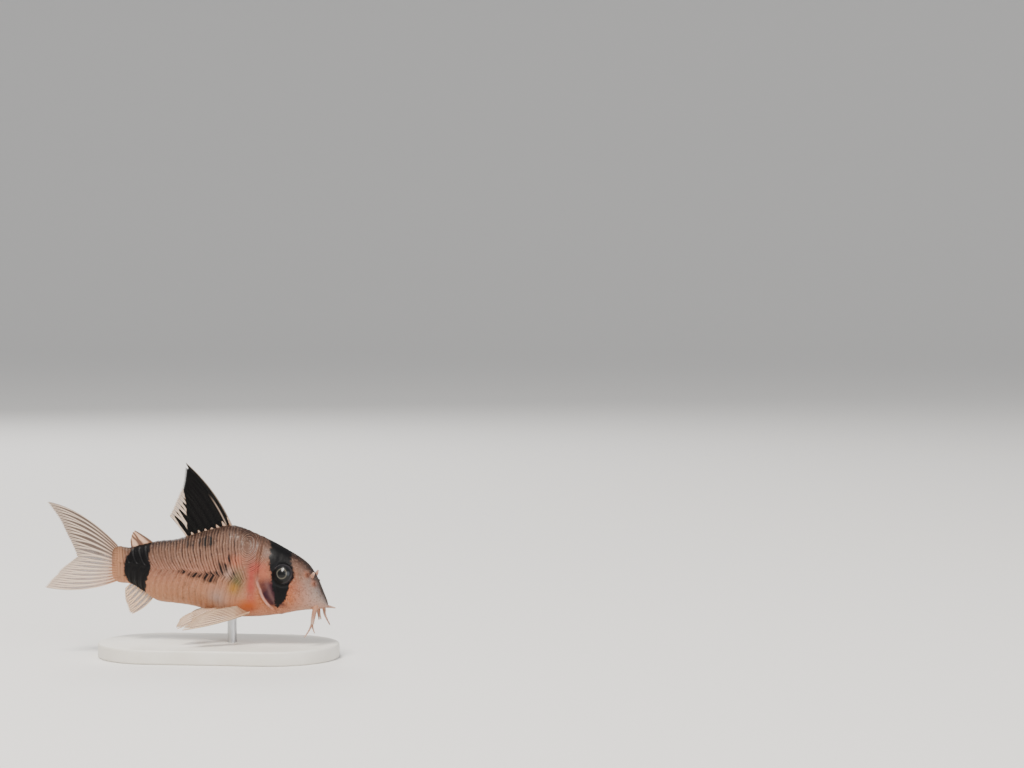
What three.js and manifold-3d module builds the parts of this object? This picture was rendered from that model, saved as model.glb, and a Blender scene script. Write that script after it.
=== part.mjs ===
// A panda corydoras, a small armoured catfish, as a still, life-size model on a display stand.
// It swims just above the ground with its head low, as such a fish does when it feeds.
// Units are millimetres. +X runs from tail to head, +Z is up, and the fish's right side faces -Y.
// The origin is the middle of the stand's underside, and heights of the fish count from the stand's top.
import * as THREE from "three";
import { mergeVertices } from "three/addons/utils/BufferGeometryUtils.js";
import Module from "manifold-3d";

const wasm = await Module();
wasm.setup();

// Driving dimensions of the fish
const standardLength = 38.15; // snout to the root of the tail fin
const sidewaysBend = 0.0022; // how far the body curves towards its right side, per mm squared
const gap = 0.3; // between neighbouring pieces
const rootLift = 0.36; // how far a root stays off the skin, a little over the gap because the skin slopes
const rightSide = -1;
const leftSide = 1;

// Driving dimensions of the armour: two rows of bony scutes on each flank
const scutes = { count: 21, first: 15.6, pitch: 1.05, step: 0.17, chevron: 1.25, edge: 0.1 };
const trunkScutes = 14; // the rest are on the tail
const aroundBody = 36; // facets round the body

// Driving dimensions of the fins, with at least half a millimetre of membrane
const membrane = 0.5;
const rayRidge = 0.3; // how much thicker a fin is at a ray than between rays
const finRim = 0.3; // thickness at the outer margin

// Driving dimensions of the stand
const base = { length: 42, width: 22, thick: 2.5, bevel: 0.4 };
const rod = { radius: 0.8, x: 6.9, height: 8 };
const fishShift = -4.5; // sets the fish's weight over the middle of the base

// Side view of the body: each girth has its place behind the snout, its back and belly points, its half
// width, how high up it is widest, and how square its upper and lower halves are (2 is an ellipse).
const girths = [
  { at: 0.0, back: [24.0, 6.75], belly: [24.0, 6.7], half: 0.05, widest: 0.5, upper: 2.0, lower: 2.0 },
  { at: 0.5, back: [23.8, 7.45], belly: [23.5, 6.4], half: 1.1, widest: 0.45, upper: 2.0, lower: 2.2 },
  { at: 1.3, back: [23.4, 8.45], belly: [22.6, 6.2], half: 1.8, widest: 0.42, upper: 2.0, lower: 2.4 },
  { at: 2.4, back: [22.9, 9.65], belly: [21.5, 6.1], half: 2.45, widest: 0.4, upper: 2.0, lower: 2.6 },
  { at: 3.8, back: [22.1, 11.5], belly: [20.2, 6.0], half: 3.0, widest: 0.38, upper: 2.0, lower: 2.7 },
  { at: 5.5, back: [20.4, 13.95], belly: [18.5, 5.75], half: 3.55, widest: 0.37, upper: 1.95, lower: 2.8 },
  { at: 8.4, back: [17.0, 16.15], belly: [15.7, 5.2], half: 4.15, widest: 0.37, upper: 1.85, lower: 2.8 },
  { at: 12.5, back: [12.3, 18.5], belly: [11.5, 4.7], half: 4.7, widest: 0.38, upper: 1.75, lower: 2.7 },
  { at: 17.0, back: [7.3, 20.3], belly: [7.3, 4.7], half: 4.75, widest: 0.4, upper: 1.7, lower: 2.6 },
  { at: 20.9, back: [3.4, 19.6], belly: [3.4, 5.55], half: 4.3, widest: 0.42, upper: 1.75, lower: 2.4 },
  { at: 24.9, back: [-0.6, 18.45], belly: [-0.6, 6.4], half: 3.6, widest: 0.46, upper: 1.8, lower: 2.2 },
  { at: 27.5, back: [-3.2, 17.75], belly: [-3.2, 6.7], half: 3.05, widest: 0.48, upper: 1.85, lower: 2.15 },
  { at: 30.5, back: [-6.2, 17.45], belly: [-6.2, 7.1], half: 2.45, widest: 0.5, upper: 1.9, lower: 2.1 },
  { at: 33.1, back: [-8.9, 16.8], belly: [-8.7, 8.7], half: 1.9, widest: 0.5, upper: 2.0, lower: 2.0 },
  { at: 35.2, back: [-11.2, 16.3], belly: [-10.8, 9.9], half: 1.45, widest: 0.5, upper: 2.0, lower: 2.0 },
  { at: 38.15, back: [-13.9, 16.9], belly: [-13.9, 10.05], half: 0.9, widest: 0.5, upper: 2.2, lower: 2.2 },
];
const girthCurve = new THREE.CubicInterpolant(
  girths.map((g) => g.at),
  girths.flatMap((g) => [...g.back, ...g.belly, g.half, g.widest, g.upper, g.lower]),
  8,
);

// The point of the skin at a place behind the snout and an angle round the body, 0 at the back and
// pi at the belly, positive on the left. Lift raises it off the skin.
function skin(at, angle, lift = 0) {
  const [backX, backZ, bellyX, bellyZ, half, widest, upper, lower] = girthCurve.evaluate(at);
  const up = Math.cos(angle);
  const out = Math.sin(angle);
  const square = up >= 0 ? upper : lower;
  const height = backZ - bellyZ;
  const reach = (up >= 0 ? 1 - widest : widest) * height + lift;
  const z = bellyZ + widest * height + Math.sign(up) * reach * Math.abs(up) ** (2 / square);
  const y = Math.sign(out) * (Math.max(half, 0) + lift) * Math.abs(out) ** (2 / square);
  const share = THREE.MathUtils.clamp((z - bellyZ) / Math.max(height, 0.1), 0, 1);
  return new THREE.Vector3(bellyX + (backX - bellyX) * share, y, z);
}

// The whole fish curves gently sideways.
const bend = (point) => point.setY(point.y - sidewaysBend * point.x * point.x);

const { lerp, smoothstep } = THREE.MathUtils;

// Closed surfaces from rings of points, and solids from them
function geometryFrom(points, faces) {
  const geometry = new THREE.BufferGeometry();
  const numbers = points.flatMap((p) => [p.x, p.y, p.z]);
  geometry.setAttribute("position", new THREE.Float32BufferAttribute(numbers, 3));
  geometry.setIndex(faces.flat());
  return geometry;
}

function loft(rings) {
  const around = rings[0].length;
  const points = rings.flat();
  const faces = [];
  for (let r = 0; r + 1 < rings.length; r++)
    for (let i = 0; i < around; i++) {
      const j = (i + 1) % around;
      const [a, b, c, d] = [r * around + i, r * around + j, (r + 1) * around + j, (r + 1) * around + i];
      faces.push([a, b, c], [a, c, d]);
    }
  for (const end of [0, rings.length - 1]) {
    const sum = rings[end].reduce((total, p) => total.add(p), new THREE.Vector3());
    const middle = points.push(sum.divideScalar(around));
    for (let i = 0; i < around; i++) {
      const [a, b] = [end * around + i, end * around + ((i + 1) % around)];
      faces.push(end === 0 ? [b, a, middle - 1] : [a, b, middle - 1]);
    }
  }
  return geometryFrom(points, faces);
}

function solidOf(geometry) {
  const bare = geometry.clone();
  bare.deleteAttribute("normal");
  bare.deleteAttribute("uv");
  const merged = mergeVertices(bare, 1e-4);
  return new wasm.Manifold(
    new wasm.Mesh({
      numProp: 3,
      vertProperties: merged.attributes.position.array,
      triVerts: new Uint32Array(merged.index.array),
    }),
  );
}

function geometryOf(solid) {
  const { vertProperties, triVerts } = solid.getMesh();
  const geometry = new THREE.BufferGeometry();
  geometry.setAttribute("position", new THREE.Float32BufferAttribute(vertProperties, 3));
  geometry.setIndex([...triVerts]);
  return geometry;
}

// A cut can leave scraps, and a node keeps only its largest closed surface.
const largest = (solid) => solid.decompose().sort((a, b) => b.volume() - a.volume())[0];

// Where the gill opening parts the head from the trunk: its edge runs forward below, to the throat, and
// the skull's roof reaches a little further back above it.
const gill = { middle: 12.2, roof: 0.7, throat: 3.5 };
function gillPlace(angle) {
  const up = Math.cos(angle);
  return gill.middle + gill.roof * Math.max(0, up) ** 2 - gill.throat * Math.max(0, -up) ** 1.2;
}

// The scutes' edges point forward at the middle of the flank, as chevrons.
function chevron(at, angle) {
  const away = Math.abs(Math.cos(angle));
  const strength = lerp(scutes.chevron, 0.6 * scutes.chevron, smoothstep(at, 20, 36));
  return at - strength * (1 - away) ** 1.3;
}

// Scutes are full height on the flanks, and fade at the ridge of the back, the midline and the bare belly.
function scuteLift(angle) {
  const up = Math.cos(angle);
  const midline = smoothstep(Math.abs(up), 0.02, 0.2);
  const belly = 1 - smoothstep(-up, 0.8, 0.95);
  return scutes.step * (0.35 + 0.65 * midline) * belly;
}

const angles = Array.from({ length: aroundBody }, (_, i) => (2 * Math.PI * i) / aroundBody);
const ring = (placeOf, liftOf = () => 0) => angles.map((a) => bend(skin(placeOf(a), a, liftOf(a))));

// Rings of a stretch of scutes, each rising to its rear edge and dropping to the next
function scuteRings(from, to, extra = 0) {
  const rings = [];
  for (let s = from; s < to; s++) {
    const front = scutes.first + s * scutes.pitch;
    const rear = front + scutes.pitch - scutes.edge;
    rings.push(ring((a) => chevron(front, a), () => extra));
    rings.push(ring((a) => chevron(rear, a), (a) => scuteLift(a) + extra));
  }
  return rings;
}

// Head: snout, cheek and gill cover, whose rear edge stands proud
const gillCover = { proud: 0.22, share: 0.74 };
function headRings(extra = 0) {
  const steps = [0, 0.012, 0.04, 0.075, 0.115, 0.16, 0.21, 0.27, 0.335, 0.405, 0.48, 0.555, 0.63, 0.7];
  const cover = [gillCover.share, gillCover.share + 0.015, 0.82, 0.88, 0.94, 1];
  return [...steps, ...cover].map((share) =>
    ring(
      (a) => share * gillPlace(a),
      (a) => {
        const side = smoothstep(Math.abs(Math.sin(a)), 0.35, 0.75);
        const raised = smoothstep(share, gillCover.share, 1);
        return extra + gillCover.proud * side * raised;
      },
    ),
  );
}

// Trunk: from the gill opening to the vent, with the shoulder plate ahead of the scutes
const shoulder = { proud: 0.16 };
function trunkRings(extra = 0) {
  const plate = [0, 0.35, 0.7, 0.98].map((share) =>
    ring(
      (a) => lerp(gillPlace(a) + gap, chevron(scutes.first - scutes.edge, a), share),
      (a) => extra + shoulder.proud * smoothstep(Math.abs(Math.sin(a)), 0.3, 0.7) * (0.4 + 0.6 * share),
    ),
  );
  return [...plate, ...scuteRings(0, trunkScutes, extra)];
}

const tailEnd = standardLength - gap;
function tailRings(extra = 0) {
  const start = scutes.first + trunkScutes * scutes.pitch - scutes.edge + gap;
  const rings = scuteRings(trunkScutes, scutes.count, extra).slice(1);
  rings.unshift(ring((a) => chevron(start, a), () => extra));
  rings.push(ring(() => tailEnd, () => extra));
  return rings;
}

// The body grown by the gap, which every root is cut to
const grownBody = [headRings, trunkRings, tailRings]
  .map((rings) => solidOf(loft(rings(rootLift))))
  .reduce((all, piece) => all.add(piece));

// Eyes are flattened balls, sunk in sockets of the head.
const eye = { at: 8.35, angle: 1.08, radius: 1.75, depth: 1.1, sunk: 0.45, tilt: 0.22 };
function eyeBall(side, grow = 0) {
  const ball = new THREE.SphereGeometry(1, 20, 14);
  ball.scale(eye.radius + grow, eye.depth + grow, eye.radius + grow);
  ball.rotateX(side * eye.tilt);
  const surface = bend(skin(eye.at, side * eye.angle));
  return solidOf(ball.translate(surface.x, surface.y - side * eye.sunk, surface.z));
}

// A tapered round stem along a curve, for barbels, lips and spines
function stem(points, radii, sides = 6, steps = 10) {
  const curve = new THREE.CatmullRomCurve3(points.map((p) => new THREE.Vector3(...p)));
  const frames = curve.computeFrenetFrames(steps);
  const rings = [];
  for (let s = 0; s <= steps; s++) {
    const share = s / steps;
    const radius = lerp(radii[0], radii[1], share ** 0.8);
    const centre = curve.getPointAt(share);
    rings.push(
      Array.from({ length: sides }, (_, i) => {
        const a = (-2 * Math.PI * i) / sides;
        return bend(
          centre
            .clone()
            .addScaledVector(frames.normals[s], radius * Math.cos(a))
            .addScaledVector(frames.binormals[s], radius * Math.sin(a)),
        );
      }),
    );
  }
  return solidOf(loft(rings.reverse()));
}

// Mouth: low and small, under the snout, with a fleshy upper and lower lip and a slit between them
const mouth = {
  halfWidth: 1.7,
  cornerX: 21.9,
  upperX: 23.4,
  lowerX: 22.6,
  upperZ: 6.3,
  lowerZ: 5.65,
  upperLip: 0.4,
  lowerLip: 0.34,
};
function lip(frontX, z) {
  const corner = (side) => [mouth.cornerX, side * mouth.halfWidth, mouth.upperZ];
  const cheek = (side) => [lerp(mouth.cornerX, frontX, 0.72), side * 0.62 * mouth.halfWidth, z];
  return [corner(rightSide), cheek(rightSide), [frontX, 0, z], cheek(leftSide), corner(leftSide)];
}
const upperLip = stem(lip(mouth.upperX, mouth.upperZ), [mouth.upperLip, mouth.upperLip], 6, 12);
const lowerLip = stem(lip(mouth.lowerX, mouth.lowerZ), [mouth.lowerLip, mouth.lowerLip], 6, 12);

// Nostrils: a pit on each side of the forehead, with a small upright flap of skin behind it
const nostril = { at: 4.15, angle: 0.62, pit: 0.34, flapHeight: 1.3, flapRadii: [0.42, 0.22] };
function nostrilFlap(side) {
  const root = skin(nostril.at + 0.35, side * nostril.angle, -0.35);
  const tip = skin(nostril.at + 0.55, side * (nostril.angle + 0.02), nostril.flapHeight);
  const middle = root.clone().lerp(tip, 0.5);
  return stem([root.toArray(), middle.toArray(), tip.toArray()], nostril.flapRadii, 6, 3);
}
function nostrilPit(side) {
  const pit = new THREE.SphereGeometry(nostril.pit, 8, 6);
  const centre = bend(skin(nostril.at - 0.45, side * nostril.angle, 0.05));
  pit.translate(centre.x, centre.y, centre.z);
  return solidOf(pit);
}

// A fin: rays from a root line to tip points, with a ridge along each ray and thin webs between.
// Roots and tips are functions of a share across the fin, 0 at the leading ray and 1 at the last.
function fin({ rays, rows, root, tip, bow = () => [0, 0, 0], normal, notch = 0.03, spine = 0 }) {
  const columns = 2 * (rays - 1);
  const across = new THREE.Vector3(...normal).normalize();
  const sheets = [1, -1].map((face) => {
    const points = [];
    for (let c = 0; c <= columns; c++)
      for (let r = 0; r <= rows; r++) {
        const share = c / columns;
        const onRay = c % 2 === 0;
        const out = (r / rows) * (onRay ? 1 : 1 - notch);
        const middle = new THREE.Vector3(...root(share)).lerp(new THREE.Vector3(...tip(share)), out);
        middle.addScaledVector(new THREE.Vector3(...bow(share)), 4 * out * (1 - out));
        const taper = 1 - smoothstep(out, 0.55, 1);
        const stout = membrane + (onRay ? rayRidge : 0) + (c === 0 ? spine : 0);
        const thick = finRim + (stout - finRim) * taper;
        points.push(middle.addScaledVector(across, (face * thick) / 2));
      }
    return points;
  });
  const points = sheets.flat();
  const back = sheets[0].length;
  const id = (c, r) => c * (rows + 1) + r;
  const faces = [];
  const quad = (a, b, c, d) => faces.push([a, b, c], [a, c, d]);
  for (let c = 0; c < columns; c++)
    for (let r = 0; r < rows; r++) {
      const [p, q, s, t] = [id(c, r), id(c + 1, r), id(c + 1, r + 1), id(c, r + 1)];
      faces.push([p, q, s], [p, s, t], [back + p, back + s, back + q], [back + p, back + t, back + s]);
    }
  const rim = [];
  for (let c = 0; c < columns; c++) rim.push(id(c, 0));
  for (let r = 0; r < rows; r++) rim.push(id(columns, r));
  for (let c = columns; c > 0; c--) rim.push(id(c, rows));
  for (let r = rows; r > 0; r--) rim.push(id(0, r));
  rim.forEach((a, i) => {
    const b = rim[(i + 1) % rim.length];
    quad(a, back + a, back + b, b);
  });
  // Which way round the faces run depends on the side of the fish, so a fin that faces inwards is turned.
  const made = solidOf(geometryFrom(points.map(bend), faces));
  return made.volume() > 0 ? made : solidOf(geometryFrom(points, faces.map(([a, b, c]) => [a, c, b])));
}

const alongLine = (from, to) => (share) => from.map((v, i) => lerp(v, to[i], share));
function alongArc(from, over, to) {
  const curve = new THREE.QuadraticBezierCurve3(...[from, over, to].map((p) => new THREE.Vector3(...p)));
  return (share) => curve.getPoint(share).toArray();
}

// Dorsal fin: a strong spine in front, then seven softer rays, swept to a tall point
const dorsalFin = fin({
  rays: 8,
  rows: 8,
  root: alongLine([7.3, 0, 19.3], [-0.8, 0, 17.4]),
  tip: alongArc([-1.3, 0, 31.1], [-1.85, 0, 26.4], [-4.2, 0, 21.9]),
  bow: (share) => [lerp(0.75, 0.1, share), 0, lerp(0.5, 0.1, share)],
  normal: [0, 1, 0],
  spine: 0.3,
});

// Adipose fin: one stout spine with a small flap of skin behind it
const adiposeFin = fin({
  rays: 3,
  rows: 4,
  root: alongLine([-6.6, 0, 16.8], [-10.7, 0, 15.5]),
  tip: alongArc([-10.2, 0, 19.2], [-10.7, 0, 19.1], [-11.0, 0, 17.3]),
  bow: (share) => [0, 0, lerp(0.12, 0, share)],
  normal: [0, 1, 0],
  spine: 0.3,
});

// Tail fin: forked, sixteen rays fanned from the upright end of the tail
const tailTip = {
  upper: alongArc([-25.6, 0, 24.2], [-22.4, 0, 20.2], [-20.45, 0, 14.6]),
  lower: alongArc([-20.45, 0, 14.6], [-24.0, 0, 12.2], [-26.0, 0, 9.3]),
};
const tailFin = fin({
  rays: 16,
  rows: 7,
  root: alongLine([-13.9, 0, 16.9], [-13.9, 0, 10.1]),
  tip: (share) => (share < 0.5 ? tailTip.upper(share * 2) : tailTip.lower(share * 2 - 1)),
  bow: (share) => [0, 0, lerp(1.35, -1.0, share)],
  normal: [0, 1, 0],
  notch: 0.02,
});

// Anal fin, under the tail
const analFin = fin({
  rays: 7,
  rows: 5,
  root: alongLine([-6.7, 0, 8.0], [-10.4, 0, 10.6]),
  tip: alongArc([-10.9, 0, 4.6], [-12.3, 0, 5.3], [-12.0, 0, 9.1]),
  bow: (share) => [lerp(0.3, 0, share), 0, lerp(-0.35, 0, share)],
  normal: [0, 1, 0],
  spine: 0.1,
});

// Pelvic fins, under the belly, spread outwards and back
const pelvicFin = (side) =>
  fin({
    rays: 6,
    rows: 5,
    root: alongLine([4.9, side * 3.0, 6.3], [3.0, side * 1.7, 6.2]),
    tip: alongArc([-1.5, side * 6.0, 2.9], [-2.9, side * 4.5, 3.9], [-0.3, side * 2.6, 5.2]),
    bow: (share) => [0, side * 0.3, lerp(-0.25, 0, share)],
    normal: [0.05, side * 0.72, 0.69],
    spine: 0.1,
  });

// Pectoral fins: a strong spine in front, held low and swept back
const pectoralFin = (side) =>
  fin({
    rays: 8,
    rows: 6,
    root: alongLine([10.9, side * 3.3, 5.7], [9.8, side * 3.5, 6.9]),
    tip: alongArc([0.1, side * 9.2, 3.2], [0.2, side * 7.6, 4.9], [4.3, side * 5.9, 6.2]),
    bow: (share) => [0, side * lerp(0.4, 0.1, share), lerp(-0.35, 0, share)],
    normal: [0.24, side * 0.72, 0.64],
    spine: 0.35,
  });

// Barbels: two fleshy feelers that part from one stem at each corner of the mouth, and a short pair on
// the lower lip. Those at the right hang and part low, and at the left one is held forward.
const feelers = {
  barbels_right: [
    {
      path: [[22.2, -1.4, 7.5], [21.95, -2.3, 5.9], [21.75, -2.6, 4.6], [21.65, -2.7, 3.7]],
      radii: [0.5, 0.36],
    },
    { path: [[21.7, -2.67, 4.1], [21.2, -2.9, 2.9], [20.3, -3.2, 1.5]], radii: [0.33, 0.16] },
    { path: [[21.68, -2.67, 4.1], [21.75, -2.55, 3.2], [22.05, -2.5, 2.2]], radii: [0.33, 0.16] },
  ],
  barbels_left: [
    {
      path: [[22.3, 1.2, 7.2], [22.8, 2.05, 6.0], [22.95, 2.3, 4.8], [23.8, 2.7, 2.9]],
      radii: [0.45, 0.16],
    },
    { path: [[22.7, 1.9, 6.3], [23.4, 2.15, 6.3], [24.0, 2.4, 6.2], [24.8, 2.7, 6.0]], radii: [0.4, 0.16] },
  ],
  barbel_chin_right: [
    { path: [[22.2, -0.55, 6.3], [22.35, -0.6, 5.1], [22.5, -0.75, 4.3]], radii: [0.3, 0.16] },
  ],
  barbel_chin_left: [
    { path: [[22.2, 0.55, 6.3], [22.35, 0.6, 5.1], [22.55, 0.75, 4.2]], radii: [0.3, 0.16] },
  ],
};
const feeler = (pieces) => {
  const stems = pieces.map(({ path, radii }) => stem(path, radii));
  return stems.reduce((all, piece) => all.add(piece));
};
const grownLips = [
  stem(lip(mouth.upperX, mouth.upperZ), [mouth.upperLip + gap, mouth.upperLip + gap], 8, 12),
  stem(lip(mouth.lowerX, mouth.lowerZ), [mouth.lowerLip + gap, mouth.lowerLip + gap], 8, 12),
].reduce((all, piece) => all.add(piece));

// Stand: a flat base with rounded ends, and one slim rod up to the belly
function standBase() {
  const end = base.width / 2 - base.bevel;
  const straight = base.length / 2 - base.width / 2;
  const outline = new THREE.Shape();
  outline.absarc(straight, 0, end, -Math.PI / 2, Math.PI / 2);
  outline.absarc(-straight, 0, end, Math.PI / 2, (3 * Math.PI) / 2);
  const plate = new THREE.ExtrudeGeometry(outline, {
    depth: base.thick - 2 * base.bevel,
    bevelThickness: base.bevel,
    bevelSize: base.bevel,
    bevelSegments: 2,
    curveSegments: 16,
  });
  return plate.translate(0, 0, base.bevel);
}
function standRod() {
  const bar = new THREE.CylinderGeometry(rod.radius, rod.radius, rod.height, 24).rotateX(Math.PI / 2);
  return solidOf(bar.translate(rod.x, -sidewaysBend * rod.x ** 2, rod.height / 2 + gap));
}

// Colours and finish of each part
const finishes = {
  skin: new THREE.MeshStandardMaterial({ color: 0xc4967a, roughness: 0.42, metalness: 0.0 }),
  fins: new THREE.MeshStandardMaterial({ color: 0xd9c6b4, roughness: 0.4, metalness: 0.0 }),
  darkFin: new THREE.MeshStandardMaterial({ color: 0x14120f, roughness: 0.45, metalness: 0.0 }),
  barbels: new THREE.MeshStandardMaterial({ color: 0xc9a48c, roughness: 0.45, metalness: 0.0 }),
  eye: new THREE.MeshStandardMaterial({ color: 0x0b0b0d, roughness: 0.08, metalness: 0.0 }),
  standBase: new THREE.MeshStandardMaterial({ color: 0xd8d2c6, roughness: 0.55, metalness: 0.0 }),
  standRod: new THREE.MeshStandardMaterial({ color: 0xb9bcc0, roughness: 0.3, metalness: 1.0 }),
};

const model = new THREE.Group();
const fish = new THREE.Group();
fish.position.set(fishShift, 0, base.thick);
model.add(fish);

function addNode(parent, name, solid, finish) {
  const mesh = new THREE.Mesh(geometryOf(largest(solid)), finishes[finish]);
  mesh.name = name;
  parent.add(mesh);
}

const sides = { right: rightSide, left: leftSide };
let head = solidOf(loft(headRings())).add(upperLip).add(lowerLip);
for (const side of Object.values(sides)) {
  head = head.add(nostrilFlap(side)).subtract(nostrilPit(side)).subtract(eyeBall(side, gap));
}
addNode(fish, "head", head, "skin");
addNode(fish, "trunk", solidOf(loft(trunkRings())), "skin");
addNode(fish, "tail", solidOf(loft(tailRings())), "skin");
addNode(fish, "dorsal_fin", dorsalFin.subtract(grownBody), "darkFin");
addNode(fish, "adipose_fin", adiposeFin.subtract(grownBody), "fins");
addNode(fish, "tail_fin", tailFin.subtract(grownBody), "fins");
addNode(fish, "anal_fin", analFin.subtract(grownBody), "fins");
for (const [name, side] of Object.entries(sides)) {
  addNode(fish, `eye_${name}`, eyeBall(side), "eye");
  addNode(fish, `pelvic_fin_${name}`, pelvicFin(side).subtract(grownBody), "fins");
  addNode(fish, `pectoral_fin_${name}`, pectoralFin(side).subtract(grownBody), "fins");
}
for (const [name, pieces] of Object.entries(feelers)) {
  addNode(fish, name, feeler(pieces).subtract(grownBody).subtract(grownLips), "barbels");
}
addNode(fish, "stand_rod", standRod().subtract(grownBody), "standRod");
const plinth = new THREE.Mesh(standBase(), finishes.standBase);
plinth.name = "stand_base";
model.add(plinth);

export default model;
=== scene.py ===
import math
import random
import bpy
import bmesh
from mathutils import Matrix, Vector


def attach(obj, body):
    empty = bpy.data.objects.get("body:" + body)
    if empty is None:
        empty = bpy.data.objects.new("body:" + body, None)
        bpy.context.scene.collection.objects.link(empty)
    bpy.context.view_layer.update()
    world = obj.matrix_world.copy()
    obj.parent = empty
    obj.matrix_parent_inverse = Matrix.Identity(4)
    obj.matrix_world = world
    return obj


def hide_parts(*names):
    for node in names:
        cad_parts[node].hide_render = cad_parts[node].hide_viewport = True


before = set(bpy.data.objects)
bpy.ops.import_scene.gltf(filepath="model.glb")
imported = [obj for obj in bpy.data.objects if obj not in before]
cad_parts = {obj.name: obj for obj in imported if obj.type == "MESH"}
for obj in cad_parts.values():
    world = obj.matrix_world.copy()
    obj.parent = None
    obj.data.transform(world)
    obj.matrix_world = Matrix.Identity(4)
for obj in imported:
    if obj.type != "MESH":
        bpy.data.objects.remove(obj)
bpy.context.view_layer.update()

# Sizes below are millimetres in the fish's own frame: +X to the head, +Z up, heights from the stand's top
mm = 0.001
fishShift = -4.5  # the fish's weight stands over the middle of the base
standTop = 2.5
sidewaysBend = 0.0022  # the body curves a little to its right
sideOf = {"right": -1, "left": 1}


def placed(point):
    x, y, z = point
    return Vector(((x + fishShift) * mm, (y - sidewaysBend * x * x) * mm, (z + standTop) * mm))


def smoothStep(value, low, high):
    t = min(max((value - low) / (high - low), 0.0), 1.0)
    return t * t * (3 - 2 * t)


def between(a, b, t):
    return a + (b - a) * t


def swell(distance, width):
    return math.exp(-(distance / width) ** 2)


def spline(stops, at):  # a smooth curve through rows of numbers, the first of each row being its place
    last = len(stops) - 1
    k = max(i for i in range(last) if stops[i][0] <= at or i == 0)
    here, there = stops[k], stops[k + 1]
    before, after = stops[max(k - 1, 0)], stops[min(k + 2, last)]
    span = there[0] - here[0]
    t = min(max((at - here[0]) / span, 0.0), 1.0)
    values = []
    for a, b, c, d in zip(before[1:], here[1:], there[1:], after[1:]):
        slopeHere = (c - a) / (there[0] - before[0]) * span
        slopeThere = (d - b) / (after[0] - here[0]) * span
        values.append((2 * t**3 - 3 * t**2 + 1) * b + (t**3 - 2 * t**2 + t) * slopeHere
                      + (3 * t**2 - 2 * t**3) * c + (t**3 - t**2) * slopeThere)
    return values


def onSide(point, side):
    return Vector((point[0], side * point[1], point[2]))


# Every piece leaves here: mesh made, shaded smooth, with its material, riding on the one body
def finishPiece(name, bm, material, replaced=(), sharp=None):
    bmesh.ops.recalc_face_normals(bm, faces=bm.faces)
    for face in bm.faces:
        face.smooth = True
    if sharp:
        for edge in bm.edges:
            edge.smooth = len(edge.link_faces) != 2 or edge.calc_face_angle(0) < math.radians(sharp)
    mesh = bpy.data.meshes.new(name)
    bm.to_mesh(mesh)
    bm.free()
    piece = bpy.data.objects.new(name, mesh)
    bpy.context.scene.collection.objects.link(piece)
    mesh.materials.append(material)
    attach(piece, "root")
    if replaced:
        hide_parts(*replaced)


# Materials

def paint(hexText):  # an sRGB hex colour as linear red, green, blue, alpha
    parts = [int(hexText[i:i + 2], 16) / 255 for i in (1, 3, 5)]
    return tuple(c / 12.92 if c <= 0.04045 else ((c + 0.055) / 1.055) ** 2.4 for c in parts) + (1.0,)


def setInputs(node, inputs):  # other nodes' outputs are linked; numbers and hex colours go on the sockets
    for key, value in inputs.items() if isinstance(inputs, dict) else enumerate(inputs):
        if isinstance(value, bpy.types.NodeSocket):
            node.id_data.links.new(value, node.inputs[key])
        else:
            node.inputs[key].default_value = paint(value) if isinstance(value, str) else value


def addNode(tree, kind, inputs=(), stops=(), out=0, **settings):  # stops are a ramp's colours or greys
    node = tree.nodes.new("ShaderNode" + kind)
    for key, value in settings.items():
        setattr(node, key, value)
    setInputs(node, inputs)
    if stops:
        elements = node.color_ramp.elements
        while len(elements) < len(stops):
            elements.new(0.5)
        for element, (place, shade) in zip(elements, stops):
            element.position = place
            element.color = paint(shade) if isinstance(shade, str) else (shade, shade, shade, 1.0)
    return node.outputs[out]


def newMaterial(name):
    material = bpy.data.materials.new(name)
    material.use_nodes = True
    return material, material.node_tree, material.node_tree.nodes["Principled BSDF"]


def grain(tree, sizeMm, detail=3.0):  # noise whose patches are about that many millimetres across
    place = addNode(tree, "TexCoord", out="Object")
    return addNode(tree, "TexNoise", {"Vector": place, "Scale": 0.5 / (sizeMm * mm), "Detail": detail})


def frayed(tree, field, noise, amount):  # a field that noise pushes up and down, so that its edges fray
    lowered = addNode(tree, "Math", [field, amount / 2], operation="SUBTRACT")
    return addNode(tree, "Math", [noise, amount, lowered], operation="MULTIPLY_ADD")


def layered(tree, ground, layers):  # colours over a ground, each through the product of its masks
    for masks, colour in layers:
        mask = masks[0]
        for other in masks[1:]:
            mask = addNode(tree, "Math", [mask, other], operation="MULTIPLY", use_clamp=True)
        ground = addNode(tree, "Mix", {0: mask, 6: ground, 7: colour}, out=2, data_type="RGBA")
    return ground


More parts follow.
